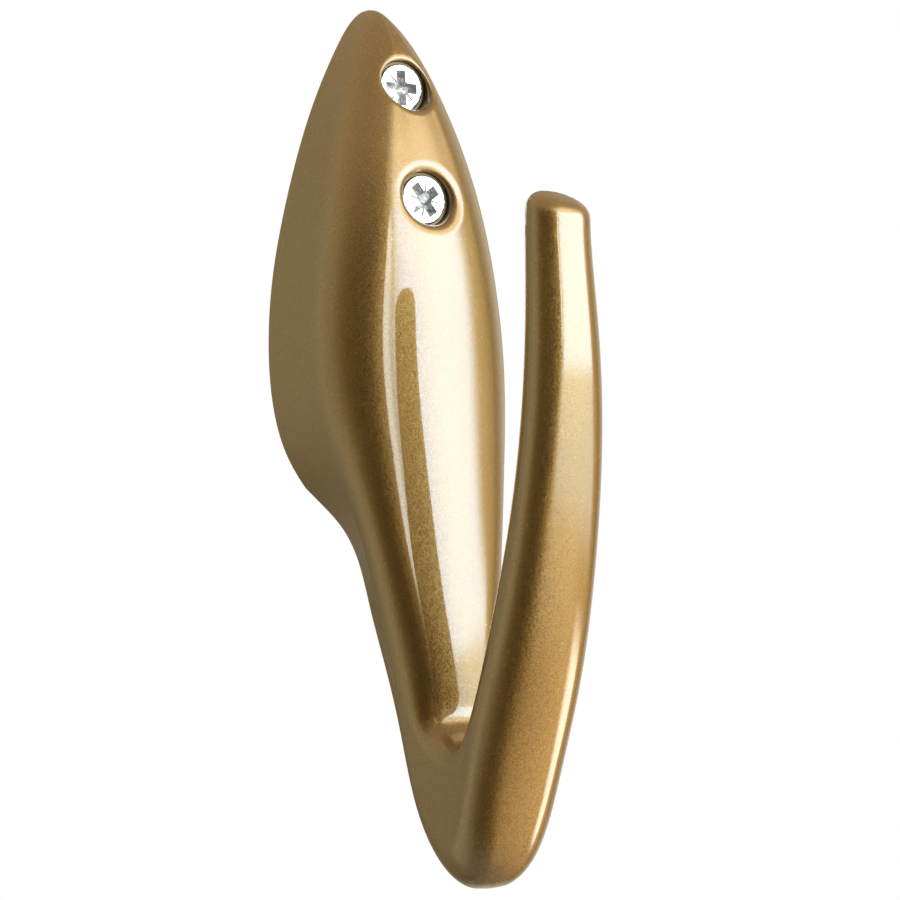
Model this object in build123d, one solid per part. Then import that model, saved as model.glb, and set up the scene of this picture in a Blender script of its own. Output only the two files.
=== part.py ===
from build123d import *
from math import hypot, radians, tan
import os

os.makedirs("parts", exist_ok=True)

# Long arm wall hook, millimetres. The wall is the plane Y = 0 and the hook stands out
# towards -Y. The origin lies on the wall, midway between the two screws.

# driving dimensions of the screws and their holes
screw_spacing = 16.0        # between the screw centres, up and down
screw_length = 25.0         # from the top of the head to the point
thread_diameter = 3.2
shank_diameter = 2.7        # plain part inside the casting
point_length = 3.2
point_diameter = 0.3
head_diameter = 6.3
head_rim = 0.35             # short upright edge of the head
head_angle = 90.0           # whole angle of the countersunk cone
cross_span = 4.6            # tip to tip of the cross recess
cross_width = 1.1           # one wing of the cross
cross_core = 2.4            # width of the square middle, turned by 45 degrees
cross_depth = 2.0
cross_taper = 6.0           # lean of the recess walls, degrees
tick_span = 4.9             # the fine star marks between the wings
tick_width = 0.18
tick_depth = 0.12
upper_head_out = 9.2        # top of the head, distance from the wall
lower_head_out = 15.2
upper_turn = 3.0            # how far each cross is turned, degrees
lower_turn = 38.0
recess_diameter = 7.2
upper_rim = 0.9             # rounding of each recess mouth
lower_rim = 1.6
rim_shares = (1, 0.8, 0.6, 0.4, 0.2)        # tried in turn until the rounding fits
clearance_hole = 3.8
seat_gap = 0.05             # lacquer and play round the head

# driving dimensions of the casting
wall_overlap = 2.5          # how far the raw shape runs behind the wall before it is cut
trim_block = 400.0          # larger than the hook on every side
corner_fullness = 0.8       # how far a soft corner reaches into the sharp one
corner_places = (0, 0.25, 0.5, 0.75, 1)     # points along a soft corner
dome_places = (0, 0.35, 0.7)                # points along the domed front, up to its corner
flank_places = (0.2, 0.4, 0.6, 0.8)         # points along the straight side
dome_slope = 1.6            # the dome falls this much faster at its edge than on average
dome_room = 0.9             # the largest shares of a face that a corner may take
flank_room = 0.45
nose_up = 20.75             # top of the leaf
cap_height = 3.6            # rounded end of the arm
cap_power = 2.5
cap_steps = (0.30, 0.58, 0.80, 0.94, 0.99)

# The casting is drawn through these cross-sections, from the top of the leaf down the base,
# round the bend and up the arm. Each row gives, in this order:
# front middle (distance out from the wall, height), back middle (out, height),
# half width at the front and at the back, dome height at the front and at the back,
# corner rounding at the front and at the back.
# Through the arm the front is the side that faces the wall.
sections = (
    (0.9, 20.6, 0.0, 20.6, 0.4, 0.7, 0.15, 0.0, 0.3, 0.0),
    (2.1, 20.2, 0.0, 20.2, 0.8, 1.4, 0.35, 0.0, 0.7, 0.0),
    (3.9, 19.0, 0.0, 19.0, 1.7, 2.6, 0.6, 0.0, 1.5, 0.0),
    (7.4, 15.5, 0.0, 15.5, 3.5, 4.7, 1.05, 0.0, 2.9, 0.0),
    (11.7, 7.7, 0.0, 7.7, 6.6, 8.1, 1.6, 0.0, 4.1, 0.0),
    (17.1, -7.8, 0.0, -7.8, 10.7, 12.6, 2.9, 0.0, 5.0, 0.0),
    (19.0, -23.0, 0.0, -24.0, 13.0, 14.8, 3.4, 0.0, 5.0, 0.0),
    (20.2, -35.0, 0.0, -40.0, 13.1, 12.3, 3.4, 0.0, 5.0, 0.0),
    (21.9, -47.6, 2.9, -50.2, 11.6, 5.8, 3.0, 0.5, 4.5, 1.0),
    (23.6, -59.4, 10.6, -61.5, 9.2, 6.3, 2.1, 1.0, 4.0, 3.0),
    (24.9, -70.3, 17.5, -77.3, 6.5, 6.0, 1.4, 1.0, 3.0, 3.1),
    (26.3, -75.0, 24.1, -90.6, 5.9, 5.6, 0.95, 1.5, 2.5, 3.6),
    (29.8, -76.4, 31.0, -93.9, 5.9, 5.8, 0.9, 1.5, 2.5, 3.8),
    (33.5, -73.4, 38.7, -81.9, 5.7, 6.9, 0.9, 1.5, 2.5, 3.5),
    (37.6, -62.6, 44.6, -66.6, 5.2, 6.7, 0.8, 1.4, 2.3, 3.1),
    (41.8, -45.0, 49.3, -46.5, 4.4, 5.7, 0.8, 1.3, 2.3, 2.9),
    (43.1, -28.0, 50.1, -28.4, 3.8, 4.8, 0.75, 1.2, 2.0, 3.0),
    (42.6, -15.6, 49.0, -16.2, 3.4, 4.3, 0.75, 1.1, 1.9, 2.6),
)


def between(a, b, share):
    return tuple(p + (q - p) * share for p, q in zip(a, b))


def bend(start, corner, end):
    """Five points of a soft corner, by the formula of a weighted quadratic curve."""
    points = []
    for s in corner_places:
        a, b, c = (1 - s) ** 2, 2 * corner_fullness * s * (1 - s), s**2
        points.append(tuple((a * p + b * q + c * r) / (a + b + c) for p, q, r in zip(start, corner, end)))
    return points


def outline(row):
    """Points of one closed cross-section, from the front middle round the right side."""
    front_out, front_up, back_out, back_up, front_half, back_half = row[:6]
    front_dome, back_dome, front_round, back_round = row[6:]
    if back_out == 0:
        # a section on the wall runs straight on behind it, and the cut trims it later
        share = wall_overlap / front_out
        back_out, back_up = -wall_overlap, back_up + (back_up - front_up) * share
        back_half += (back_half - front_half) * share
        back_round = wall_overlap / 2
    depth = hypot(front_out - back_out, front_up - back_up)

    def dome(share):
        return front_half * share, depth - front_dome * share**2

    def belly(share):
        return back_half * share, back_dome * share**2

    def flank(share):
        return between(dome(1), belly(1), share)

    flank_length = hypot(front_half - back_half, depth - front_dome - back_dome)
    dome_end = 1 - min(front_round / hypot(front_half, dome_slope * front_dome), dome_room)
    belly_end = 1 - min(back_round / hypot(back_half, dome_slope * back_dome), dome_room)
    flank_start = min(front_round / flank_length, flank_room)
    flank_end = 1 - min(back_round / flank_length, flank_room)
    half = [dome(dome_end * s) for s in dome_places]
    half += bend(dome(dome_end), dome(1), flank(flank_start))
    half += [flank(flank_start + (flank_end - flank_start) * s) for s in flank_places]
    half += bend(flank(flank_end), belly(1), belly(belly_end))
    half += [belly(belly_end / 2), belly(0)]
    whole = half + [(-x, t) for x, t in reversed(half[1:-1])]
    lean_out, lean_up = (front_out - back_out) / depth, (front_up - back_up) / depth
    return [Vector(x, -(back_out + t * lean_out), back_up + t * lean_up) for x, t in whole]


def right_half(points):
    """One smooth edge from the front middle round the right side to the back middle."""
    count = len(points) // 2 + 1
    across = [Vector(1, 0, 0), Vector(-1, 0, 0)]
    places = [float(i) for i in range(count)]
    return Wire([Edge.make_spline(points[:count], tangents=across, parameters=places)])


def cap(points, share):
    """The last section drawn together towards the rounded end of the arm."""
    middle = (points[0] + points[len(points) // 2]) * 0.5
    grip = (1 - share**cap_power) ** (1 / cap_power)
    return [middle + (p - middle) * grip + Vector(0, 0, cap_height * share) for p in points]


outlines = [outline(row) for row in sections]
last = outlines[-1]
outlines += [cap(last, share) for share in cap_steps]
nose = Vertex(0, (wall_overlap - sections[0][0]) / 2, nose_up)
tip_middle = (last[0] + last[len(last) // 2]) * 0.5
tip = Vertex(tip_middle.X, tip_middle.Y, tip_middle.Z + cap_height)

# one skin over the right half, closed by a flat face on the middle plane, then mirrored
skin = Shell.make_loft([nose] + [right_half(points) for points in outlines] + [tip]).faces()[0]
middle_lines = [edge for edge in skin.edges() if edge.length > 1 and abs(edge.center().X) < 1e-3]
half_body = Solid(Shell([skin, Face(Wire(middle_lines))]))
half_body = Part() + half_body - Pos(0, trim_block / 2, 0) * Box(trim_block, trim_block, trim_block)
casting = half_body + mirror(half_body, about=Plane.YZ)


def along_wall(diameter, start_out, end_out):
    """Round bar square to the wall, between two distances out from it."""
    middle = (start_out + end_out) / 2
    return Pos(0, -middle, 0) * Rot(90, 0, 0) * Cylinder(diameter / 2, abs(end_out - start_out))


def head_cone(head_out, gap):
    """Countersunk cone under a head whose top is head_out from the wall."""
    wide = head_diameter / 2 + gap
    narrow = shank_diameter / 2
    height = (wide - narrow) / tan(radians(head_angle / 2))
    top = head_out - head_rim
    return Pos(0, -(top - height / 2), 0) * Rot(90, 0, 0) * Cone(narrow, wide, height)


def screw_hole(head_out):
    tool = along_wall(recess_diameter, head_out - head_rim, head_out + screw_length)
    tool += head_cone(head_out, seat_gap)
    tool += along_wall(clearance_hole, -wall_overlap, head_out - head_rim)
    return tool


def cross_recess(head_out, turn):
    plane = Plane(origin=(0, -head_out, 0), x_dir=(1, 0, 0), z_dir=(0, 1, 0))
    wing = Rectangle(cross_span, cross_width)
    cross = wing + Rot(0, 0, 90) * wing + Rot(0, 0, 45) * Rectangle(cross_core, cross_core)
    cut = extrude(plane * (Rot(0, 0, turn) * cross), amount=cross_depth, taper=cross_taper)
    mark = Rectangle(tick_span, tick_width)
    marks = Rot(0, 0, 45) * mark + Rot(0, 0, 135) * mark
    return cut + extrude(plane * (Rot(0, 0, turn) * marks), amount=tick_depth)


def screw(head_out, turn):
    body = along_wall(head_diameter, head_out - head_rim, head_out)
    body += head_cone(head_out, 0)
    body += along_wall(shank_diameter, 0, head_out - head_rim)
    end = screw_length - head_out
    body += along_wall(thread_diameter, -(end - point_length), 0)
    point = Cone(thread_diameter / 2, point_diameter / 2, point_length)
    body += Pos(0, end - point_length / 2, 0) * Rot(-90, 0, 0) * point
    return body - cross_recess(head_out, turn)


def mouth(shape, height, head_out):
    """Edges where a recess breaks through the front: on its bore, and not in one flat ring."""
    found = []
    for edge in shape.edges():
        box = edge.bounding_box()
        reach = max(abs(box.min.Z - height), abs(box.max.Z - height), box.max.X, -box.min.X)
        if abs(reach - recess_diameter / 2) < seat_gap and box.min.Y < -head_out:
            found.append(edge)
    return found


def soften(shape, height, head_out, radius):
    """Round a recess mouth, by less where the casting has no room for the whole radius."""
    edges = mouth(shape, height, head_out)
    for share in rim_shares:
        try:
            return fillet(edges, radius * share)
        except ValueError:
            continue
    return shape


upper, lower = Pos(0, 0, screw_spacing / 2), Pos(0, 0, -screw_spacing / 2)
casting -= upper * screw_hole(upper_head_out)
casting -= lower * screw_hole(lower_head_out)
casting = soften(casting, screw_spacing / 2, upper_head_out, upper_rim)
casting = soften(casting, -screw_spacing / 2, lower_head_out, lower_rim)

nodes = {
    "hook_casting": casting,
    "upper_screw": upper * screw(upper_head_out, upper_turn),
    "lower_screw": lower * screw(lower_head_out, lower_turn),
}
for name, shape in nodes.items():
    export_step(shape, f"parts/{name}.step")
    box = shape.bounding_box()
    print(name, "solids", len(shape.solids()), "volume", round(shape.volume, 1), "valid", shape.is_valid)
    print("  from", [round(v, 2) for v in box.min], "to", [round(v, 2) for v in box.max])
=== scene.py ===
import math
import bmesh
import bpy
import numpy as np
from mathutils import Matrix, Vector


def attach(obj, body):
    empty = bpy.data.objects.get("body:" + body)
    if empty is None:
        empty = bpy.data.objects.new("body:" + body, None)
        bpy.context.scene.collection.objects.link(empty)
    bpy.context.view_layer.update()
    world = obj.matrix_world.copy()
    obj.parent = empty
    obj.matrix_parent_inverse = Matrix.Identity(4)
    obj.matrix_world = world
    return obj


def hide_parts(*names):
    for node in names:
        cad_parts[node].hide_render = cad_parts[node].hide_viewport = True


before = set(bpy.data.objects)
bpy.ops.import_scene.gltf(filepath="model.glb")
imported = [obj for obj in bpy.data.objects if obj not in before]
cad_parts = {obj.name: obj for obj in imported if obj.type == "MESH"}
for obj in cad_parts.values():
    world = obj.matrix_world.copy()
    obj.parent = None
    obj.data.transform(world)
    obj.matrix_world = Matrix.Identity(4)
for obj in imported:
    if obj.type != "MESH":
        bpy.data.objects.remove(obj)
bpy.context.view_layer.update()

mm = 0.001
zeroLength = 1e-6        # millimetres; anything shorter counts as nothing
mergeDistance = 2e-7     # metres between points that are the same point
sharpAngle = 38          # edges sharper than this, in degrees, are not smoothed over

# The hook casting. Sizes in millimetres, angles in degrees: x across, out from the wall,
# up from the middle of the screws.
hookShape = {
    "wallOverlap": 2.5,      # raw sections run this far behind the wall
    "cornerFullness": 0.8,   # weight of the soft corner curve
    "cornerPoints": 5,       # points along it
    "domePlaces": (0, 0.35, 0.7),          # points along the domed front, up to its corner
    "flankPlaces": (0.2, 0.4, 0.6, 0.8),   # points along the straight side
    "domeSlope": 1.6,        # the dome falls this much faster at its edge than on average
    "domeRoom": 0.9,         # the largest shares of a face that a corner may take
    "flankRoom": 0.45,
    "noseUp": 20.75,         # top of the leaf
    "capHeight": 3.3,        # rounded end of the arm
    "capPower": 3.0,
    "capSlant": 0.4,         # its top falls away from the wall by this share
    "capSteps": (0.30, 0.58, 0.80, 0.94, 0.99),
    "rowPitch": 0.42,        # mesh rows along the hook
    "noseRows": 14,          # and closer ones over the first stretch below the nose
    "noseStretch": 1.2,
    "frontColumns": 54,      # mesh columns on each side, front middle to the wall edge
    "backColumns": 14,       # and from there to the back middle
    "backSpread": 0.22,      # below the wall the back columns widen by this share
    "spreadLength": 14,      # over this length
    "edgeSearch": 721,       # places tried round a row to find the wall
    # front out, front up, back out, back up, front half width, back half width,
    # front dome, back dome, front rounding, back rounding
    "sections": (
        (0.9, 20.6, 0.0, 20.6, 0.4, 0.7, 0.15, 0.0, 0.3, 0.0),
        (2.1, 20.2, 0.0, 20.2, 0.8, 1.4, 0.35, 0.0, 0.7, 0.0),
        (3.9, 19.0, 0.0, 19.0, 1.7, 2.6, 0.6, 0.0, 1.5, 0.0),
        (7.4, 15.5, 0.0, 15.5, 3.5, 4.7, 1.05, 0.0, 2.9, 0.0),
        (11.7, 7.7, 0.0, 7.7, 6.6, 8.1, 1.6, 0.0, 4.1, 0.0),
        (17.1, -7.8, 0.0, -7.8, 10.7, 12.6, 2.9, 0.0, 5.0, 0.0),
        (19.0, -23.0, 0.0, -24.0, 13.0, 14.8, 3.4, 0.0, 5.0, 0.0),
        (20.2, -35.0, 0.0, -40.0, 13.1, 12.3, 3.4, 0.0, 5.0, 0.0),
        (21.9, -47.6, 2.9, -50.2, 11.6, 5.8, 3.0, 0.5, 4.5, 1.0),
        (23.6, -59.4, 10.6, -61.5, 9.2, 6.3, 2.1, 1.0, 4.0, 3.0),
        (24.9, -70.3, 17.5, -77.3, 6.5, 6.0, 1.4, 1.0, 3.0, 3.1),
        (26.3, -75.0, 24.1, -90.6, 5.9, 5.6, 0.95, 1.5, 2.5, 3.6),
        (29.8, -76.4, 31.0, -93.9, 5.9, 5.8, 0.9, 1.5, 2.5, 3.8),
        (33.5, -73.4, 38.7, -81.9, 5.7, 6.9, 0.9, 1.5, 2.5, 3.5),
        (37.6, -62.6, 44.6, -66.6, 5.2, 6.7, 0.8, 1.4, 2.3, 3.1),
        (41.8, -45.0, 49.3, -46.5, 4.4, 5.7, 0.8, 1.3, 2.3, 2.9),
        (43.1, -28.0, 50.1, -28.4, 3.8, 4.8, 0.75, 1.2, 2.0, 3.0),
        (42.6, -15.6, 49.0, -16.2, 3.4, 4.3, 0.75, 1.1, 1.9, 2.6),
    ),
    # the two screw holes: height, top of the screw's head from the wall, size of the rounded rim
    "holes": {
        "upper": {"up": 8.0, "headOut": 9.2, "rimWide": 1.1, "rimDeep": 0.9},
        "lower": {"up": -8.0, "headOut": 15.2, "rimWide": 1.8, "rimDeep": 1.25},
    },
    "recessRadius": 3.6,
    "headRim": 0.35, "headRadius": 3.15, "seatGap": 0.05,    # the screw's head in its seat
    "clearance": 1.9,        # radius of the hole through to the wall
    "rimRoom": 0.9,          # the rim takes at most this share of the bore
    "rimWaves": 4,           # waves round the hole that the rim's height may have
    "rimWeight": 0.75,       # fullness of the rim's curve
    "boreSteps": (0.35, 0.7, 1),
    "floorCorner": 0.12,     # small rounding between the bore and its floor
    "floorTurns": (22.5, 45, 67.5, 90),
    # softened edge of the countersink: sideways, down
    "seatSteps": ((0.06, 0.0), (0.0, 0.03), (-0.06, 0.1)),
    "patchHalf": 6.0,        # half the side of the patch of mesh rebuilt round a hole
    "patchRings": 16, "rimRings": 12,
    "ringCrowding": 1.5,     # the patch's rings are closer together near the rim
    "shadeLoops": 4,          # loops over which the painted shade and thinner coat fade in at the top of the bore
    "backMargin": 1.2,       # flat back left open round each hole, then filled
}


def between(a, b, share):
    # the value at this share of the way from a to b
    return a + (b - a) * share


def curveWeights(s, fullness):
    # shares of the start, the corner and the end in a quadratic curve whose corner has its own weight
    a, b, c = (1 - s) ** 2, 2 * fullness * s * (1 - s), s ** 2
    return a, b, c, a + b + c


def softCorner(start, corner, end, shape):
    # weighted quadratic curve from start to end, pulled towards the corner
    s = np.linspace(0, 1, shape["cornerPoints"])[:, None]
    a, b, c, total = curveWeights(s, shape["cornerFullness"])
    return (a * start + b * corner + c * end) / total


def sectionOutline(row, shape):
    # domed front, straight flank, soft corners and bellied back, all in the section's own plane,
    # then laid into space along the line from the back middle to the front middle
    frontOut, frontUp, backOut, backUp, frontHalf, backHalf, frontDome, backDome, frontRound, backRound = row
    if backOut == 0:
        share = shape["wallOverlap"] / frontOut
        backOut, backUp = -shape["wallOverlap"], backUp + (backUp - frontUp) * share
        backHalf += (backHalf - frontHalf) * share
        backRound = shape["wallOverlap"] / 2
    depth = math.hypot(frontOut - backOut, frontUp - backUp)
    dome = lambda share: np.array((frontHalf * share, depth - frontDome * share ** 2))
    belly = lambda share: np.array((backHalf * share, backDome * share ** 2))
    flank = lambda share: between(dome(1), belly(1), share)
    flankLength = math.hypot(frontHalf - backHalf, depth - frontDome - backDome)
    domeEnd = 1 - min(frontRound / math.hypot(frontHalf, shape["domeSlope"] * frontDome), shape["domeRoom"])
    bellyEnd = 1 - min(backRound / math.hypot(backHalf, shape["domeSlope"] * backDome), shape["domeRoom"])
    flankStart = min(frontRound / flankLength, shape["flankRoom"])
    flankEnd = 1 - min(backRound / flankLength, shape["flankRoom"])
    half = np.vstack([
        [dome(domeEnd * s) for s in shape["domePlaces"]],
        softCorner(dome(domeEnd), dome(1), flank(flankStart), shape),
        [flank(between(flankStart, flankEnd, s)) for s in shape["flankPlaces"]],
        softCorner(flank(flankEnd), belly(1), belly(bellyEnd), shape),
        [belly(bellyEnd * 0.5), belly(0)],
    ])
    whole = np.vstack([half, (half * (-1, 1))[-2:0:-1]])
    leanOut, leanUp = (frontOut - backOut) / depth, (frontUp - backUp) / depth
    return np.column_stack([whole[:, 0], -(backOut + whole[:, 1] * leanOut), backUp + whole[:, 1] * leanUp])


def splineWeights(knots, query, closed):
    # weights that turn values at the knots into a smooth cubic spline at the query places;
    # an open spline has no curvature at its ends, a closed one repeats after its last knot
    count = len(knots) - 1 if closed else len(knots)
    step = np.diff(knots)
    bend, pull = np.zeros((count, count)), np.zeros((count, count))
    for i in range(count):  # one equation per knot: slopes meet
        if not closed and i in (0, count - 1):
            bend[i, i] = 1
            continue
        before, after = step[i - 1], step[i % len(step)]
        left, right = (i - 1) % count, (i + 1) % count
        bend[i, left] += before
        bend[i, i] += 2 * (before + after)
        bend[i, right] += after
        pull[i, left] += 6 / before
        pull[i, i] -= 6 / before + 6 / after
        pull[i, right] += 6 / after
    curvature = np.linalg.solve(bend, pull)
    query = np.asarray(query, float).ravel()
    if closed:
        query = knots[0] + (query - knots[0]) % (knots[-1] - knots[0])
    span = np.clip(np.searchsorted(knots, query, side="right") - 1, 0, len(step) - 1)
    width = step[span]
    low, high = query - knots[span], knots[span + 1] - query
    same = np.eye(count)
    first, second = span % count, (span + 1) % count
    weights = (high / width)[:, None] * same[first] + (low / width)[:, None] * same[second]
    weights += ((high ** 3 / width - width * high) / 6)[:, None] * curvature[first]
    weights += ((low ** 3 / width - width * low) / 6)[:, None] * curvature[second]
    return weights


class Skin:
    # smooth surface through all sections: around is the place on a section, along the way down the hook
    def __init__(self, shape):
        rows = [sectionOutline(row, shape) for row in shape["sections"]]
        last = rows[-1]
        middle = (last[0] + last[len(last) // 2]) / 2
        for share in shape["capSteps"]:
            grip = (1 - share ** shape["capPower"]) ** (1 / shape["capPower"])
            ring = middle + (last - middle) * grip + (0, 0, shape["capHeight"] * share)
            ring[:, 2] += shape["capSlant"] * share * (ring[:, 1] - middle[1])
            rows.append(ring)
        nose = (0, (shape["wallOverlap"] - shape["sections"][0][0]) / 2, shape["noseUp"])
        rows.insert(0, np.tile(nose, (len(last), 1)))
        rows.append(np.tile(middle + (0, 0, shape["capHeight"]), (len(last), 1)))
        self.rows = np.array(rows)
        gaps = np.linalg.norm(np.diff(self.rows, axis=0), axis=2).mean(axis=1)
        self.along = np.concatenate([[0], np.cumsum(gaps)])
        self.around = np.arange(self.rows.shape[1] + 1.0)
        self.half = self.rows.shape[1] / 2

    def lines(self, along):
        # the section at each place along, a weighted sum of all the given ones
        return np.einsum("qr,rkd->qkd", splineWeights(self.along, along, False), self.rows)

    def points(self, around, along):
        # one point for each pair of places
        lines = self.lines(along)
        weights = splineWeights(self.around, around, True)
        return np.einsum("qk,qkd->qd", weights, lines)

    def grid(self, around, along):
        # around has one row of places for each value of along
        lines = self.lines(along)
        weights = splineWeights(self.around, around, True).reshape(around.shape + (-1,))
        return np.einsum("rck,rkd->rcd", weights, lines)

    def find(self, x, z, around, along):
        # Newton steps from a first guess to the place whose x and height are given,
        # none longer than 1 around and 2 along
        tiny, rounds = 1e-4, 8
        for step in range(rounds):
            here = self.points(around, along)
            byAround = (self.points(around + tiny, along) - here) / tiny
            byAlong = (self.points(around, along + tiny) - here) / tiny
            dx, dz = x - here[:, 0], z - here[:, 2]
            flat = byAround[:, 0] * byAlong[:, 2] - byAround[:, 2] * byAlong[:, 0]
            around = around + np.clip((dx * byAlong[:, 2] - dz * byAlong[:, 0]) / flat, -1, 1)
            along = along + np.clip((dz * byAround[:, 0] - dx * byAround[:, 2]) / flat, -2, 2)
        return around, along


def smoothStep(x):
    # 0 up to 0, 1 from 1 on, three x squared less two x cubed in between
    x = np.clip(x, 0, 1)
    return x * x * (3 - 2 * x)


def wallEdges(skin, along, shape):
    # for each row the place where the right side meets the wall plane; half way round if it never does
    around = np.linspace(0, skin.half, shape["edgeSearch"])
    depth = skin.grid(np.tile(around, (len(along), 1)), along)[:, :, 1]
    behind = depth > 0
    first = behind.argmax(axis=1)
    pick = np.arange(len(along))
    before = np.maximum(first - 1, 0)
    low, high = depth[pick, before], depth[pick, first]
    share = np.where(high > low, -low / np.where(high > low, high - low, 1), 0)
    edge = around[before] + np.clip(share, 0, 1) * (around[1] - around[0])
    return np.where(behind.any(axis=1), edge, skin.half)


def castingRows(skin, shape):
    # rows start where the nose comes through the wall and are close together there
    reach, steps = 6, 1201  # how far down the wall is looked for, and in how many steps
    fine = np.linspace(0, reach, steps)
    front = skin.points(np.zeros_like(fine), fine)[:, 1]
    start = np.interp(0, -front, fine)
    end = skin.along[-1]
    early = start + shape["noseStretch"] * (np.linspace(0, 1, shape["noseRows"]) ** 2)
    count = int((end - early[-1]) / shape["rowPitch"])
    return np.concatenate([early, np.linspace(early[-1], end, count)[1:]])


def castingGrid(skin, shape):
    # the right half by rows and columns, with a column on the wall's edge, and its mirror image
    along = castingRows(skin, shape)
    edge = wallEdges(skin, along, shape)
    onWall = edge < skin.half - zeroLength
    leave = along[onWall].max()
    # below the wall the back columns spread out again over a short way
    free = skin.half * (1 - shape["backSpread"] * smoothStep((along - leave) / shape["spreadLength"]))
    split = np.where(onWall, edge, free)
    frontShare = np.linspace(0, 1, shape["frontColumns"] + 1)
    backShare = np.linspace(0, 1, shape["backColumns"] + 1)[1:]
    around = np.hstack([split[:, None] * frontShare,
                        split[:, None] + (skin.half - split)[:, None] * backShare])
    right = skin.grid(around, along)
    # the back is flat where it lies on the wall
    edgePoint = right[:, shape["frontColumns"]]
    inward = np.stack([1 - backShare, np.zeros_like(backShare), np.ones_like(backShare)], axis=1)
    flat = edgePoint[:, None, :] * inward[None]
    right[onWall, shape["frontColumns"] + 1:] = flat[onWall]
    right[onWall, shape["frontColumns"], 1] = 0
    right[:, 0, 0] = 0
    right[:, -1, 0] = 0
    left = right[:, ::-1] * (-1, 1, 1)
    whole = np.concatenate([left, right[:, 1:]], axis=1)
    places = np.concatenate([-around[:, ::-1], around[:, 1:]], axis=1)
    return whole, places, along


def ringFaces(start, loops, size):
    # quads between neighbouring closed loops of the same size
    first = start + np.arange(loops - 1)[:, None] * size + np.arange(size)[None]
    after = start + np.arange(loops - 1)[:, None] * size + (np.arange(size)[None] + 1) % size
    return np.stack([first, after, after + size, first + size], axis=2).reshape(-1, 4)


def screwHole(skin, grid, places, along, hole, shape):
    # a patch of grid round the hole is taken out and filled with rings that run from its
    # square outline to the round mouth, over the rounded rim and down the bore to the wall
    middle = grid.shape[1] // 2
    front = grid[:, middle]
    inside = np.abs(front[:, 2] - hole["up"]) < shape["patchHalf"]
    inside &= np.arange(len(front)) < np.argmin(front[:, 2])  # the base, not the arm
    rowsIn = np.flatnonzero(inside)
    low, high = rowsIn[0], rowsIn[-1]
    middleRow = (low + high) // 2
    reach = np.flatnonzero(np.abs(grid[middleRow, :, 0]) < shape["patchHalf"])
    reach = reach[np.abs(reach - middle) < grid.shape[1] // 4]
    left, right = reach[0], reach[-1]
    down, across = np.arange(low, high), np.arange(left, right)
    loopRows = np.concatenate([np.full(len(across), low), down,
                               np.full(len(across), high), down[::-1] + 1])
    loopCols = np.concatenate([across, np.full(len(down), right),
                               across[::-1] + 1, np.full(len(down), left)])
    outer = grid[loopRows, loopCols]
    outerAround, outerAlong = places[loopRows, loopCols], along[loopRows]
    angle = np.arctan2(outer[:, 2] - hole["up"], outer[:, 0])
    radius, wide = shape["recessRadius"], hole["rimWide"]

    def surface(distance):
        # places on the skin at this distance from the hole's axis
        x, z = distance * np.cos(angle), hole["up"] + distance * np.sin(angle)
        share = distance / np.hypot(outer[:, 0], outer[:, 2] - hole["up"])
        centre = np.interp(-hole["up"], -front[:high, 2], along[:high])
        return skin.find(x, z, outerAround * share, centre + (outerAlong - centre) * share)

    # the rim starts level with the surface and ends upright at the bore: a weighted quadratic
    # curve whose middle point is where the surface's tangent meets the bore
    innerAround, innerAlong = surface(np.full(len(angle), radius + wide))
    here = skin.points(innerAround, innerAlong)
    nearby = 0.05
    near = skin.points(*surface(np.full(len(angle), radius + wide + nearby)))
    slope = -(near[:, 1] - here[:, 1]) / nearby
    floor, corner = hole["headOut"] - shape["headRim"], shape["floorCorner"]
    # the nearest sum of a few waves round the hole keeps small kinks of the surface off the rim
    turns = angle[:, None] * np.arange(1, shape["rimWaves"] + 1)
    waves = np.hstack([np.ones((len(angle), 1)), np.cos(turns), np.sin(turns)])
    rimTop = waves @ np.linalg.lstsq(waves, -here[:, 1] - slope * wide, rcond=None)[0]
    # as deep as wanted or as the room above the floor allows, blended smoothly by inverse fourth powers
    room = shape["rimRoom"] * (rimTop - floor - corner)
    deep = (hole["rimDeep"] ** -4 + room ** -4) ** (-1 / 4)
    share = 1 - (1 - np.linspace(0, 1, shape["patchRings"])) ** shape["ringCrowding"]
    loops = [skin.points(between(outerAround, innerAround, s), between(outerAlong, innerAlong, s))
             for s in share[1:]]
    same = np.ones_like(angle)

    def addLoop(distance, out):
        x, z = distance * np.cos(angle), hole["up"] + distance * np.sin(angle)
        loops.append(np.stack([x, -out * same, z], axis=1))

    for s in np.linspace(0, 1, shape["rimRings"])[1:]:
        a, b, c, total = curveWeights(s, shape["rimWeight"])
        addLoop((a * (radius + wide) + (b + c) * radius) / total,
                (-a * here[:, 1] + b * rimTop + c * (rimTop - deep)) / total)
    inBore = len(loops)
    for s in shape["boreSteps"]:
        addLoop(radius, between(rimTop - deep, floor + corner, s))
    for turn in np.radians(shape["floorTurns"]):
        addLoop(radius - corner * (1 - np.cos(turn)), floor + corner * (1 - np.sin(turn)))
    seat, clearance = shape["headRadius"] + shape["seatGap"], shape["clearance"]
    for sideways, down in shape["seatSteps"]:
        addLoop(seat + sideways, floor - down)
    for out in (floor - (seat - clearance), floor / 2, 0):
        addLoop(clearance, out)
    return (low, high, left, right), loopRows, loopCols, np.array(loops), inBore


def newMesh(name, points, faces):
    # points in metres, each face a list of point numbers
    mesh = bpy.data.meshes.new(name)
    mesh.from_pydata(points, [], faces)
    return mesh


def paintPoints(mesh, name, values):
    # one number for each point, for the material to read
    layer = mesh.attributes.new(name, "FLOAT", "POINT")
    layer.data.foreach_set("value", values.astype(np.float32))


def addObject(name, data):
    # an object of its own in the scene
    thing = bpy.data.objects.new(name, data)
    bpy.context.scene.collection.objects.link(thing)
    return thing


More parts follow.
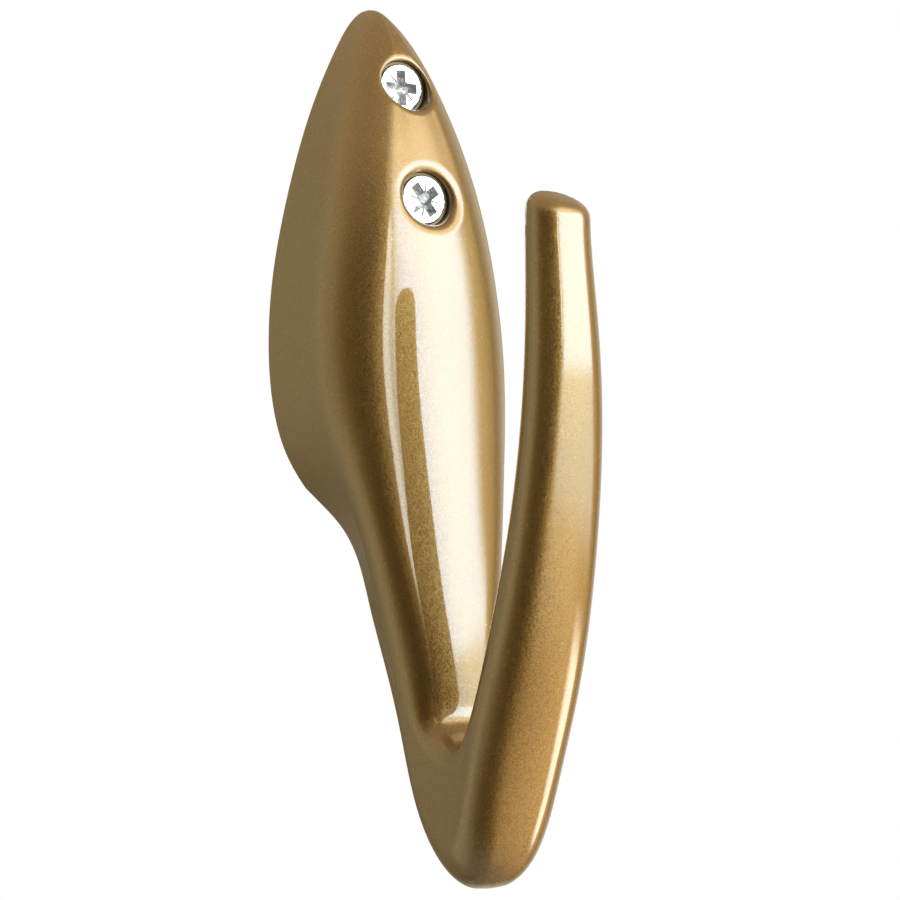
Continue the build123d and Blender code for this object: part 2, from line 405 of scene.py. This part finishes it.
def faceOut(work, mesh):
    # turn all faces outwards and put the worked mesh back
    bmesh.ops.recalc_face_normals(work, faces=work.faces[:])
    openEdges = sum(1 for edge in work.edges if len(edge.link_faces) != 2)
    volume = round(work.calc_volume() / mm ** 3, 1)
    print(mesh.name, "faces", len(work.faces), "open edges", openEdges, "volume mm3", volume)
    work.to_mesh(mesh)
    work.free()


def buildCasting(shape):
    # the grid with both holes cut in, as one closed mesh
    skin = Skin(shape)
    grid, places, along = castingGrid(skin, shape)
    rows, cols = grid.shape[:2]
    index = np.arange(rows * cols).reshape(rows, cols)
    keep = np.ones((rows - 1, cols - 1), bool)
    vertices = [grid.reshape(-1, 3)]
    shade = [np.zeros(rows * cols)]  # 1 inside the bores, where the lacquer gets painted shade and a thinner coat
    faces = []
    count = rows * cols
    ends = []
    for hole in shape["holes"].values():
        patch, loopRows, loopCols, loops, inBore = screwHole(skin, grid, places, along, hole, shape)
        low, high, left, right = patch
        keep[low:high, left:right] = False
        size = loops.shape[1]
        vertices.append(loops.reshape(-1, 3))
        # painted shade and a thinner coat fade in over the top loops of each bore
        boreShadeAmount = (np.arange(len(loops)) - inBore + shape["shadeLoops"] - 1) / shape["shadeLoops"]
        shade.append(np.repeat(np.clip(boreShadeAmount, 0, 1), size))
        first, ring = index[loopRows, loopCols], count + np.arange(size)
        faces.append(np.stack([first, np.roll(first, -1), np.roll(ring, -1), ring], axis=1))
        faces.append(ringFaces(count, len(loops), size))
        count += len(loops) * size
        ends.append((hole, count - size + np.arange(size)))
    quads = np.stack([index[:-1, :-1], index[:-1, 1:], index[1:, 1:], index[1:, :-1]], axis=2)
    # the flat back is left open round each hole, and fillBack closes it
    backOpen = []
    span = shape["clearance"] + shape["backMargin"]
    for hole, ring in ends:
        onWall = np.abs(grid[:, 0, 1]) < zeroLength
        inRows = np.flatnonzero(onWall & (np.abs(grid[:, 0, 2] - hole["up"]) < span))
        low, high = inRows[0], inRows[-1]
        middleRow = grid[(low + high) // 2]
        wide = int(np.flatnonzero(np.abs(middleRow[:shape["backColumns"], 0]) < span)[-1])
        keep[low:high, :wide] = False
        keep[low:high, cols - 1 - wide:] = False
        backOpen.append((low, high, wide, ring))
    faces.append(quads[keep])
    mesh = newMesh("hookCasting", np.vstack(vertices) * mm, np.vstack(faces).tolist())
    paintPoints(mesh, "paintedShadeThinCoat", np.concatenate(shade))
    fillBack(mesh, backOpen, index, cols)
    return mesh


def fillBack(mesh, backOpen, index, cols):
    # close the flat back between each clearance hole and the grid round it
    work = bmesh.new()
    work.from_mesh(mesh)
    work.verts.ensure_lookup_table()
    for low, high, wide, ring in backOpen:
        outer = np.concatenate([
            index[low, :wide + 1][::-1], index[low, cols - 1 - wide:cols - 1][::-1],
            index[low + 1:high + 1, cols - 1 - wide],
            index[high, cols - wide:cols - 1], index[high, :wide + 1],
            index[low + 1:high, wide][::-1],
        ])
        edges = []
        for chain in (outer, ring):
            for a, b in zip(chain, np.roll(chain, -1)):
                va, vb = work.verts[int(a)], work.verts[int(b)]
                edges.append(work.edges.get((va, vb)) or work.edges.new((va, vb)))
        bmesh.ops.triangle_fill(work, edges=edges, use_beauty=True, use_dissolve=False, normal=(0, 1, 0))
    bmesh.ops.remove_doubles(work, verts=work.verts[:], dist=mergeDistance)
    bmesh.ops.dissolve_degenerate(work, edges=work.edges[:], dist=mergeDistance / 20)
    loose = [v for v in work.verts if not v.link_faces]
    bmesh.ops.delete(work, geom=loose, context="VERTS")
    faceOut(work, mesh)


def addPiece(name, mesh, node, material):
    # a piece of the object with its finish, smooth but for its sharp edges
    piece = addObject(name, mesh)
    mesh.materials.append(material)
    mesh.shade_smooth()
    mesh.set_sharp_from_angle(angle=math.radians(sharpAngle))
    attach(piece, "root")
    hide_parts(node)


# The screws. Sizes in millimetres, angles in degrees.
screwShape = {
    # height, top of the head from the wall, turn of the cross
    "places": {
        "upper": {"up": 8.0, "headOut": 9.2, "turn": 3.0},
        "lower": {"up": -8.0, "headOut": 15.2, "turn": 38.0},
    },
    "headRadius": 3.15, "headRim": 0.35, "shankRadius": 1.35, "length": 25.0,
    "edgeRound": 0.14, "edgeTurns": (30, 60, 90),            # small rounding of the head's edge
    # the cross: tip to tip, width of a wing, reach of the square core, depth, lean of its walls
    "crossSpan": 4.6, "crossWidth": 1.35, "crossCore": 1.08, "crossDepth": 1.3,
    "endLean": 24.0, "sideLean": 5.0, "coreLean": 10.0,
    "lip": 0.03,             # tiny chamfer round the cross
    "floorBowl": 0.25,       # its floor is hollow by this much
    "floorSteps": (0.3, 0.6, 0.9, 1), "wallSteps": (0.8, 0.6, 0.4, 0.2, 0.1),
    # the star marks between the wings
    "markWidth": 0.3, "markDepth": 0.1, "markEnd": 2.35, "markFade": 0.35,
    "markShade": 0.8,        # how much of the stamped finish they have
    "markSteps": (1, 0.66, 0.33),
    "markClear": 0.87,       # the core's columns stop at this share of the way to the mark
    "wingColumns": 4, "sideColumns": 7, "coreColumns": 5, "faceRings": 16,
    "coneSteps": (0.02, 0.5, 0.98, 1), "shankRings": 5, "shankStart": 0.2,
    # the thread, from the wall to the point
    "threadRadius": 1.59, "rootRadius": 1.05, "pitch": 1.3, "stepsPerTurn": 10,
    "crestHeight": 1.25, "crestSlope": 3.2,                  # a wave cut off at 0 and 1
    "pointLength": 3.2, "pointPower": 0.8,
}


def crossEdge(angle, depth, shape):
    # distance from the centre to the edge of the cross: the outermost of two crossed bars
    # and a square core turned by 45 degrees, all smaller further down
    lean = lambda name: depth * math.tan(math.radians(shape[name]))
    span = shape["crossSpan"] / 2 - lean("endLean")
    width = shape["crossWidth"] / 2 - lean("sideLean")
    core = shape["crossCore"] - lean("coreLean")
    never = 1e-9  # keeps the divisions off zero
    c, s = np.abs(np.cos(angle)) + never, np.abs(np.sin(angle)) + never
    barA, barB = np.minimum(span / c, width / s), np.minimum(span / s, width / c)
    square = core * math.sqrt(2) / (c + s)
    return np.maximum(np.maximum(barA, barB), square)


def screwColumns(shape):
    # angles round the screw with a column on each corner of the cross, and the sideways
    # offsets in millimetres of the columns that follow the star marks
    corner = math.atan2(shape["crossWidth"], shape["crossSpan"])
    width, core = shape["crossWidth"] / 2, shape["crossCore"] * math.sqrt(2)
    inner = math.atan2(width, core - width)
    quarter = math.pi / 4
    steps = np.array(shape["markSteps"])
    half = np.concatenate([np.linspace(0, corner, shape["wingColumns"]),
                           np.linspace(corner, inner, shape["sideColumns"])[1:],
                           np.linspace(inner, quarter * shape["markClear"], shape["coreColumns"])[1:],
                           np.full(len(steps), quarter)])
    offset = np.concatenate([np.zeros(len(half) - len(steps)), steps * shape["markWidth"] / 2])
    # up to the mark, the mark itself, and back down the far side to the next wing
    angle = np.concatenate([half, [quarter], 2 * quarter - half[:0:-1]])
    shift = np.concatenate([-offset, [0], offset[:0:-1]])
    mark = np.concatenate([(half == quarter) * (1 - 2 * offset / shape["markWidth"]), [1]])
    mark = np.concatenate([mark, mark[-2:0:-1]])
    turns = np.arange(4)[:, None] * math.pi / 2
    return (turns + angle).ravel(), np.tile(shift, 4), np.tile(mark, 4)


def screwMesh(name, place, shape):
    # rings of points (radius, distance out from the top of the head) from the bottom of the
    # cross, up its walls, over the head, down the cone and shank and round the thread to the point
    angle, shift, mark = screwColumns(shape)
    rings = []  # radius, out, angle, stamped
    insideAngle = angle + np.arcsin(shift / shape["crossCore"])
    flat = np.ones_like(angle)

    def ring(radius, out, turned, stamped=0.0):
        rings.append((radius * flat, out * flat, turned, stamped * flat))

    deep, bowl = shape["crossDepth"], shape["floorBowl"]
    floorEdge = crossEdge(insideAngle, deep, shape)
    for share in shape["floorSteps"]:
        ring(floorEdge * share, -deep - bowl * (1 - share), insideAngle, 1)
    for share in shape["wallSteps"]:
        ring(crossEdge(insideAngle, deep * share, shape), -deep * share, insideAngle, 1)
    top = crossEdge(insideAngle, 0, shape)
    groove = shape["markDepth"] * mark
    ring(top, -shape["lip"] - groove, insideAngle, 1)
    headRadius, edgeRound = shape["headRadius"], shape["edgeRound"]
    flatEnd = headRadius - edgeRound
    for share in np.linspace(0, 1, shape["faceRings"]):
        radius = between(top + shape["lip"], flatEnd, share)
        fade = smoothStep((shape["markEnd"] - radius) / shape["markFade"])
        ring(radius, -groove * fade, angle + np.arcsin(shift * fade / radius),
             shape["markShade"] * fade * mark)
    outer = angle + np.arcsin(shift / headRadius)
    for turn in np.radians(shape["edgeTurns"]):
        ring(flatEnd + edgeRound * np.sin(turn), -edgeRound * (1 - np.cos(turn)), outer)
    ring(headRadius, -shape["headRim"], outer)
    coneHeight = headRadius - shape["shankRadius"]
    for share in shape["coneSteps"]:
        ring(headRadius - coneHeight * share, -shape["headRim"] - coneHeight * share, outer)
    wall = place["headOut"]
    for out in np.linspace(-shape["headRim"] - coneHeight - shape["shankStart"], -wall, shape["shankRings"]):
        ring(shape["shankRadius"], out, outer)
    # the thread's height is a rounded triangle wave of the distance along plus the turn
    threadLength = shape["length"] - wall
    steps = int(threadLength / shape["pitch"] * shape["stepsPerTurn"])
    for along in np.linspace(0, threadLength, steps + 1)[1:-1]:
        wave = (along / shape["pitch"] - outer / (2 * math.pi)) % 1
        crest = np.clip(shape["crestHeight"] - shape["crestSlope"] * np.abs(wave - 0.5), 0, 1)
        start = smoothStep(along / shape["pitch"])
        taper = np.clip((threadLength - along) / shape["pointLength"], 0, 1) ** shape["pointPower"]
        root = between(shape["shankRadius"], shape["rootRadius"], start)
        ring((root + (shape["threadRadius"] - root) * crest * start) * taper, -wall - along, outer)
    radius, out, turned, stamped = np.array(rings).transpose(1, 0, 2)
    turned = turned + math.radians(place["turn"])
    x, z = radius * np.cos(turned), place["up"] + radius * np.sin(turned)
    points = np.stack([x, -(wall + out), z], axis=2).reshape(-1, 3)
    columns = len(angle)
    poles = np.array([(0, deep + bowl - wall, place["up"]), (0, shape["length"] - wall, place["up"])])
    count = len(points)
    quads = ringFaces(0, len(rings), columns)
    step = np.arange(columns)
    bottom = np.stack([np.roll(step, -1), step, np.full(columns, count)], axis=1)
    lastRing = count - columns + step
    end = np.stack([lastRing, np.roll(lastRing, -1), np.full(columns, count + 1)], axis=1)
    mesh = newMesh(name, np.vstack([points, poles]) * mm, quads.tolist() + bottom.tolist() + end.tolist())
    work = bmesh.new()
    work.from_mesh(mesh)
    faceOut(work, mesh)
    paintPoints(mesh, "pressed", np.concatenate([stamped.ravel(), [1, 0]]))
    return mesh


# Finishes. Colours are linear; lengths are in metres.
lacquerLook = {
    "colour": (0.35, 0.208, 0.055), "paleFlake": (0.5, 0.32, 0.1), "darkFlake": (0.2, 0.108, 0.024),
    "metallic": 0.7, "roughness": 0.42, "coatIor": 1.9, "coatRoughness": 0.05,
    "roughSpread": 0.1,      # between one flake and another
    "flakeSize": 0.00012, "flakeTilt": 0.16, "flakeContrast": 0.75, "flakeSkew": 2.0,
    "cloudSize": 0.012, "cloudDetail": 3, "cloudShare": 0.12,
    # the bore colour and its share paint shade into the screw bores
    "paintedBoreShadeColour": (0.1, 0.075, 0.03), "boreShade": 0.75,
    "speckColour": (0.5, 0.42, 0.3), "speckSpacing": 0.0035, "speckSize": 0.00011,
    "speckCut": 0.55,        # share of the places for specks that stay empty
}
zincLook = {
    "colour": (0.80, 0.81, 0.83), "roughness": 0.24,
    "pressedColour": (0.66, 0.66, 0.68), "pressedRoughness": 0.58,
    "flakeSize": 0.00035, "flakeTilt": 0.25, "flakeContrast": 0.08, "pressedContrast": 0.8,
}


def feed(tree, node, values):
    # each input, by name or number, is linked to another node's output or set to a value
    for label, value in values.items():
        socket = node.inputs[label]
        if hasattr(value, "is_linked"):
            tree.links.new(value, socket)
        else:
            socket.default_value = value + (1,) if socket.type == "RGBA" else value


def newNode(tree, kind, values={}):
    # a shader node with its inputs fed
    node = tree.nodes.new("ShaderNode" + kind)
    feed(tree, node, values)
    return node


def mathNode(tree, operation, *values):
    # one sum; each value is a number or the output of another node
    node = newNode(tree, "Math")
    node.operation = operation
    feed(tree, node, dict(enumerate(values)))
    return node.outputs[0]


def vectorNode(tree, operation, *values):
    # the same for vectors
    node = newNode(tree, "VectorMath")
    node.operation = operation
    feed(tree, node, dict(zip((0, "Scale" if operation == "SCALE" else 1), values)))
    return node.outputs["Value" if operation == "LENGTH" else "Vector"]


def pointValue(tree, name):
    # the number that paintPoints gave each point
    node = newNode(tree, "Attribute")
    node.attribute_name = name
    return node.outputs["Fac"]


def objectPlace(tree):
    # the place on the object, in metres
    return newNode(tree, "TexCoord").outputs["Object"]


def flakeGroup():
    # each cell of a fine pattern is one flake with its own brightness and its own small tilt,
    # and the few whose second random number is above the cut sparkle
    sparkleCut = 0.985
    group = bpy.data.node_groups.new("flakes", "ShaderNodeTree")
    for label, way, kind in (
            ("Size", "INPUT", "Float"), ("Tilt", "INPUT", "Float"),
            ("Value", "OUTPUT", "Float"), ("Sparkle", "OUTPUT", "Float"), ("Normal", "OUTPUT", "Vector")):
        group.interface.new_socket(label, in_out=way, socket_type="NodeSocket" + kind)
    given, result = group.nodes.new("NodeGroupInput"), group.nodes.new("NodeGroupOutput")
    scale = mathNode(group, "DIVIDE", 1, given.outputs["Size"])
    cells = newNode(group, "TexVoronoi", {"Vector": objectPlace(group), "Scale": scale}).outputs["Color"]
    centred = vectorNode(group, "SUBTRACT", cells, (0.5, 0.5, 0.5))
    tilt = vectorNode(group, "SCALE", centred, given.outputs["Tilt"])
    normal = newNode(group, "NewGeometry").outputs["Normal"]
    parts = newNode(group, "SeparateColor", {0: cells}).outputs
    feed(group, result, {
        "Value": parts[0],
        "Sparkle": mathNode(group, "GREATER_THAN", parts[1], sparkleCut),
        "Normal": vectorNode(group, "NORMALIZE", vectorNode(group, "ADD", normal, tilt)),
    })
    return group


def flakeValues(tree, group, look):
    # the group's outputs for this finish
    node = newNode(tree, "Group")
    node.node_tree = group
    feed(tree, node, {"Size": look["flakeSize"], "Tilt": look["flakeTilt"]})
    return node.outputs


def mixColour(tree, share, first, second, blend="MIX"):
    # the first colour turned into the second by this share
    node = newNode(tree, "Mix")
    node.data_type = "RGBA"
    node.blend_type = blend
    feed(tree, node, {0: share, 6: first, 7: second})
    return node.outputs[2]


def newMaterial(name):
    # a plain material, its nodes and its main shader
    material = bpy.data.materials.new(name)
    material.use_nodes = True
    tree = material.node_tree
    return material, tree, tree.nodes["Principled BSDF"]


def lacquerMaterial(flakes, look):
    # metal under a clear coat; its colour runs from dark to pale by flake and by a soft cloud
    material, tree, shader = newMaterial("goldLacquer")
    place = objectPlace(tree)
    cloud = newNode(tree, "TexNoise", {
        "Vector": place, "Scale": 1 / look["cloudSize"], "Detail": look["cloudDetail"]})
    flake = flakeValues(tree, flakes, look)
    # raised to a power, most flakes are a little dark and a few are pale; the mean stays in the middle
    uneven = mathNode(tree, "POWER", flake["Value"], look["flakeSkew"])
    spread = mathNode(tree, "MULTIPLY_ADD", uneven, look["flakeContrast"],
                      0.5 - look["flakeContrast"] / (1 + look["flakeSkew"]))
    spread = mathNode(tree, "MULTIPLY_ADD", cloud.outputs[0], look["cloudShare"],
                      mathNode(tree, "SUBTRACT", spread, look["cloudShare"] / 2))
    # dark up to the middle of the spread, then pale
    low = mathNode(tree, "MULTIPLY", spread, 2)
    high = mathNode(tree, "SUBTRACT", low, 1)
    low.node.use_clamp = True
    high.node.use_clamp = True
    colour = mixColour(tree, low, look["darkFlake"], look["colour"])
    colour = mixColour(tree, high, colour, look["paleFlake"])
    colour = mixColour(tree, flake["Sparkle"], colour, look["paleFlake"])
    # stray specks of dust in the lacquer
    dust = newNode(tree, "TexVoronoi", {"Vector": place, "Scale": 1 / look["speckSpacing"]}).outputs
    near = mathNode(tree, "LESS_THAN", dust["Distance"], look["speckSize"] / look["speckSpacing"])
    parts = newNode(tree, "SeparateColor", {0: dust["Color"]}).outputs
    speck = mathNode(tree, "MULTIPLY", near, mathNode(tree, "GREATER_THAN", parts[2], look["speckCut"]))
    colour = mixColour(tree, speck, colour, look["speckColour"])
    # painted shade: the bores of the screw holes are darkened in colour, and their coat is thinner
    paintedShadeThinCoat = mathNode(tree, "MULTIPLY", pointValue(tree, "paintedShadeThinCoat"), look["boreShade"])
    colour = mixColour(tree, paintedShadeThinCoat, colour, look["paintedBoreShadeColour"])
    rough = mathNode(tree, "MULTIPLY_ADD", flake["Value"], look["roughSpread"],
                     look["roughness"] - look["roughSpread"] / 2)
    feed(tree, shader, {
        "Base Color": colour, "Metallic": look["metallic"], "Roughness": rough, "Normal": flake["Normal"],
        "Coat Weight": mathNode(tree, "SUBTRACT", 1, paintedShadeThinCoat), "Coat IOR": look["coatIor"],
        "Coat Roughness": look["coatRoughness"],
    })
    return material


def zincMaterial(flakes, look):
    # bare metal whose brightness varies a little from flake to flake
    material, tree, shader = newMaterial("brightZinc")
    # the stamped cross and star marks are rougher, and blotchy where the metal was torn
    pressed = pointValue(tree, "pressed")
    flake = flakeValues(tree, flakes, look)
    contrast = mathNode(tree, "MULTIPLY_ADD", pressed,
                        look["pressedContrast"] - look["flakeContrast"], look["flakeContrast"])
    centred = mathNode(tree, "SUBTRACT", flake["Value"], 0.5)
    blotch = mathNode(tree, "MULTIPLY_ADD", centred, contrast, 1.0)
    colour = mixColour(tree, pressed, look["colour"], look["pressedColour"])
    grey = newNode(tree, "CombineColor", {0: blotch, 1: blotch, 2: blotch}).outputs[0]
    colour = mixColour(tree, 1.0, colour, grey, "MULTIPLY")
    rough = mathNode(tree, "MULTIPLY_ADD", pressed,
                     look["pressedRoughness"] - look["roughness"], look["roughness"])
    feed(tree, shader, {"Base Color": colour, "Metallic": 1, "Roughness": rough, "Normal": flake["Normal"]})
    return material


# The studio. Directions in degrees: azimuth 0 looks out from the wall, positive to the right.
# A lamp's strength is its brightness to the eye. Mirror-like rays see the cards in place of the lamps.
studio = {
    "worldLight": 0.08, "white": 1.0,
    "middle": (0.0, -0.02, -0.035),      # of the hook, in metres
    "camera": {
        "azimuth": -30.9, "elevation": -4.2, "distance": 0.2759, "target": (0.01299, 0.0, -0.039),
        "lens": 80.0, "sensor": 36.0, "nearest": 0.01,
    },
    "floor": {
        "colour": (0.82, 0.81, 0.79), "rough": 0.8, "down": 0.75, "radius": 3.0, "sides": 96, "rings": 11,
        "paleness": 0.7,         # share of white in the middle of the floor as the camera sees it
        "fade": (0.35, 0.98),    # shares of the radius between which it turns all white
    },
    "lamps": {
        "mainSoftbox": {"azimuth": 33, "elevation": 16, "distance": 0.75, "wide": 50, "high": 44,
                        "strength": 1.8, "colour": (1.0, 1.0, 1.0)},
        "sideSoftbox": {"azimuth": -118, "elevation": 12, "distance": 0.75, "wide": 60, "high": 60,
                        "strength": 3.4, "colour": (1.0, 1.0, 0.97)},
    },
    # a sphere of cards: colour by azimuth, then soft patches laid over it in turn
    "cards": {
        "distance": 0.6, "columns": 73, "rows": 37, "brightness": 2.0,
        "sideShift": 0.6,        # below the middle the pattern leans to the right by this much a degree
        "round": (
            (-180, (0.07, 0.07, 0.05)), (-150, (0.12, 0.13, 0.1)), (-125, (0.21, 0.22, 0.17)),
            (-97, (0.17, 0.16, 0.11)), (-82, (0.07, 0.05, 0.025)), (-67, (0.01, 0.005, 0.002)),
            (-30, (0.01, 0.005, 0.002)), (-15, (0.08, 0.052, 0.023)), (0, (0.42, 0.29, 0.13)),
            (12, (0.6, 0.42, 0.2)), (55, (0.43, 0.3, 0.14)), (80, (0.17, 0.125, 0.065)),
            (98, (0.35, 0.3, 0.22)), (122, (0.42, 0.38, 0.29)), (142, (0.15, 0.12, 0.08)),
            (180, (0.05, 0.045, 0.03)),
        ),
        # azimuths, elevations and colour of each patch, which fades in between
        # the first two angles and out between the last two
        "patches": {
            "above": ((-190, -180, 180, 190), (18, 60, 88, 120), (0.56, 0.44, 0.27)),
            "below": ((-190, -180, 180, 190), (-100, -91, -70, -50), (0.25, 0.25, 0.22)),
            "lowLeft": ((-165, -150, -125, -100), (-75, -45, -26, -10), (0.54, 0.5, 0.4)),
            "upperGlow": ((-25, 22, 40, 80), (28, 44, 48, 66), (3.7, 3.1, 2.0)),
            "lowerGlow": ((-14, 8, 26, 45), (-44, -10, 0, 20), (2.2, 1.8, 1.0)),
            "softboxEdge": ((-3, 6, 48, 59), (-20, -10, 34, 50), (2.5, 2.7, 2.35)),
            "softbox": ((1, 9, 50, 60), (4, 10, 30, 42), (4.3, 5.2, 6.2)),
            "streak": ((-6, -4, -1, 3), (10, 15, 28, 36), (4.4, 4.6, 4.2)),
            "lowSpot": ((36, 43, 52, 59), (-46, -38, -30, -20), (6.5, 6.0, 5.0)),
        },
    },
}


def direction(azimuth, elevation):
    # unit vector from the two angles
    a, e = math.radians(azimuth), math.radians(elevation)
    return np.array((math.sin(a) * math.cos(e), -math.cos(a) * math.cos(e), math.sin(e)))


def aimAt(thing, fromDirection):
    # turn a lamp or the camera to look back along this direction
    thing.rotation_euler = Vector(-fromDirection).to_track_quat("-Z", "Y").to_euler()


def buildCamera(look):
    # the camera stands at its distance from the target and looks at it
    data = bpy.data.cameras.new("camera")
    data.lens = look["lens"]
    data.sensor_width = look["sensor"]
    data.clip_start = look["nearest"]
    thing = addObject("camera", data)
    away = direction(look["azimuth"], look["elevation"])
    thing.location = np.array(look["target"]) + away * look["distance"]
    aimAt(thing, away)
    bpy.context.scene.camera = thing


def buildLamps(look):
    # each lamp is a flat panel that takes up the given angles as seen from the hook
    middle = np.array(look["middle"])
    for name, lamp in look["lamps"].items():
        data = bpy.data.lights.new(name, "AREA")
        data.shape = "RECTANGLE"
        data.size = 2 * lamp["distance"] * math.tan(math.radians(lamp["wide"] / 2))
        data.size_y = 2 * lamp["distance"] * math.tan(math.radians(lamp["high"] / 2))
        data.energy = lamp["strength"] * math.pi * data.size * data.size_y
        data.color = lamp["colour"]
        thing = addObject(name, data)
        thing.visible_glossy = False
        away = direction(lamp["azimuth"], lamp["elevation"])
        thing.location = middle + away * lamp["distance"]
        aimAt(thing, away)


def seenBackdrop(tree):
    # 1 for the camera and for mirror-like rays, which see the white backdrop;
    # 0 for the rays that light the object
    path = newNode(tree, "LightPath").outputs
    seen = mathNode(tree, "MAXIMUM", path["Is Camera Ray"], path["Is Glossy Ray"])
    return mathNode(tree, "MAXIMUM", seen, path["Is Transmission Ray"])


def ease(tree, value, start, end):
    # smooth step from 0 at start to 1 at end; an end below the start turns it round
    first, last = (0, 1) if start < end else (1, 0)
    node = newNode(tree, "MapRange", {
        "Value": value, "From Min": min(start, end), "From Max": max(start, end),
        "To Min": first, "To Max": last})
    node.interpolation_type = "SMOOTHSTEP"
    return node.outputs[0]


def buildWorld(look):
    # white where it is seen, and a dim even light on the object
    world = bpy.data.worlds.new("studio")
    world.use_nodes = True
    tree = world.node_tree
    seen = seenBackdrop(tree)
    strength = mathNode(tree, "MULTIPLY_ADD", seen, look["white"] - look["worldLight"], look["worldLight"])
    feed(tree, tree.nodes["Background"], {"Color": (1, 1, 1), "Strength": strength})
    bpy.context.scene.world = world


def buildFloor(look):
    # a flat disc of rings that fades to white at its rim, for the views from above
    disc = look["floor"]
    sides = disc["sides"]
    turn = np.linspace(0, 2 * math.pi, sides + 1)[:-1]
    rings = np.linspace(0, disc["radius"], disc["rings"] + 1)[1:]
    points = np.stack([rings[:, None] * np.cos(turn), rings[:, None] * np.sin(turn),
                       np.full((len(rings), sides), -disc["down"])], axis=2).reshape(-1, 3)
    points = np.vstack([points, [(0, 0, -disc["down"])]])
    step = np.arange(sides)
    fan = np.stack([step, np.roll(step, -1), np.full(sides, len(points) - 1)], axis=1)
    mesh = newMesh("floor", points, ringFaces(0, len(rings), sides).tolist() + fan.tolist())
    floor = addObject("floor", mesh)
    material, tree, shader = newMaterial("paleFloor")
    feed(tree, shader, {"Base Color": disc["colour"], "Roughness": disc["rough"]})
    glow = newNode(tree, "Emission", {"Color": (1, 1, 1), "Strength": look["white"]})
    length = vectorNode(tree, "LENGTH", objectPlace(tree))
    far = ease(tree, length, *(share * disc["radius"] for share in disc["fade"]))
    pale = mathNode(tree, "MULTIPLY_ADD", far, 1 - disc["paleness"], disc["paleness"])
    share = mathNode(tree, "MULTIPLY", seenBackdrop(tree), pale)
    mix = newNode(tree, "MixShader", {0: share, 1: shader.outputs[0], 2: glow.outputs[0]})
    feed(tree, tree.nodes["Material Output"], {"Surface": mix.outputs[0]})
    mesh.materials.append(material)


def buildCards(look):
    # a sphere round the hook, azimuth by elevation, that glows softly by direction
    cards = look["cards"]
    turn = np.radians(np.linspace(-180, 180, cards["columns"]))
    rise = np.radians(np.linspace(-90, 90, cards["rows"]))[:, None]
    points = np.stack(np.broadcast_arrays(np.sin(turn) * np.cos(rise), -np.cos(turn) * np.cos(rise),
                                          np.sin(rise) + 0 * turn), axis=2)
    points = points.reshape(-1, 3) * cards["distance"] + look["middle"]
    index = np.arange(len(points)).reshape(len(rise), len(turn))
    quads = np.stack([index[:-1, :-1], index[1:, :-1], index[1:, 1:], index[:-1, 1:]], axis=2).reshape(-1, 4)
    mesh = newMesh("cards", points, quads.tolist())
    screen = addObject("cards", mesh)
    screen.visible_camera = False
    screen.visible_shadow = False
    screen.visible_diffuse = False
    material, tree = newMaterial("softCards")[:2]
    way = vectorNode(tree, "NORMALIZE", vectorNode(tree, "SUBTRACT", objectPlace(tree), look["middle"]))
    x, y, z = newNode(tree, "SeparateXYZ", {0: way}).outputs
    azimuth = mathNode(tree, "DEGREES", mathNode(tree, "ARCTAN2", x, mathNode(tree, "MULTIPLY", y, -1.0)))
    elevation = mathNode(tree, "DEGREES", mathNode(tree, "ARCSINE", z))
    below = mathNode(tree, "MINIMUM", elevation, 0.0)
    shifted = mathNode(tree, "MULTIPLY_ADD", below, cards["sideShift"], azimuth)
    ramp = newNode(tree, "ValToRGB", {0: mathNode(tree, "MULTIPLY_ADD", shifted, 1 / 360, 0.5)})
    for k, (angle, colour) in enumerate(cards["round"]):
        stop = (angle + 180) / 360
        element = ramp.color_ramp.elements[k] if k < 2 else ramp.color_ramp.elements.new(stop)
        element.position = stop
        element.color = colour + (1,)
    colour = vectorNode(tree, "SCALE", ramp.outputs[0], cards["brightness"])
    for azimuths, elevations, patchColour in cards["patches"].values():
        mask = 1.0
        for value, (inFrom, inTo, outFrom, outTo) in ((shifted, azimuths), (elevation, elevations)):
            mask = mathNode(tree, "MULTIPLY", ease(tree, value, inFrom, inTo), mask)
            mask = mathNode(tree, "MULTIPLY", ease(tree, value, outTo, outFrom), mask)
        colour = mixColour(tree, mask, colour, patchColour)
    glow = newNode(tree, "Emission", {"Color": colour})
    feed(tree, tree.nodes["Material Output"], {"Surface": glow.outputs[0]})
    mesh.materials.append(material)


flakes = flakeGroup()
lacquer = lacquerMaterial(flakes, lacquerLook)
zinc = zincMaterial(flakes, zincLook)
print("finishes done")

addPiece("long_arm_hook", buildCasting(hookShape), "hook_casting", lacquer)
print("casting done")

for name, place in screwShape["places"].items():
    mesh = screwMesh(name + "Screw", place, screwShape)
    addPiece(name + "_screw_zinc", mesh, name + "_screw", zinc)
print("screws done")

buildFloor(studio)
buildCards(studio)
buildLamps(studio)
buildWorld(studio)
buildCamera(studio["camera"])
bpy.context.scene.view_settings.view_transform = "Standard"
print("studio done")
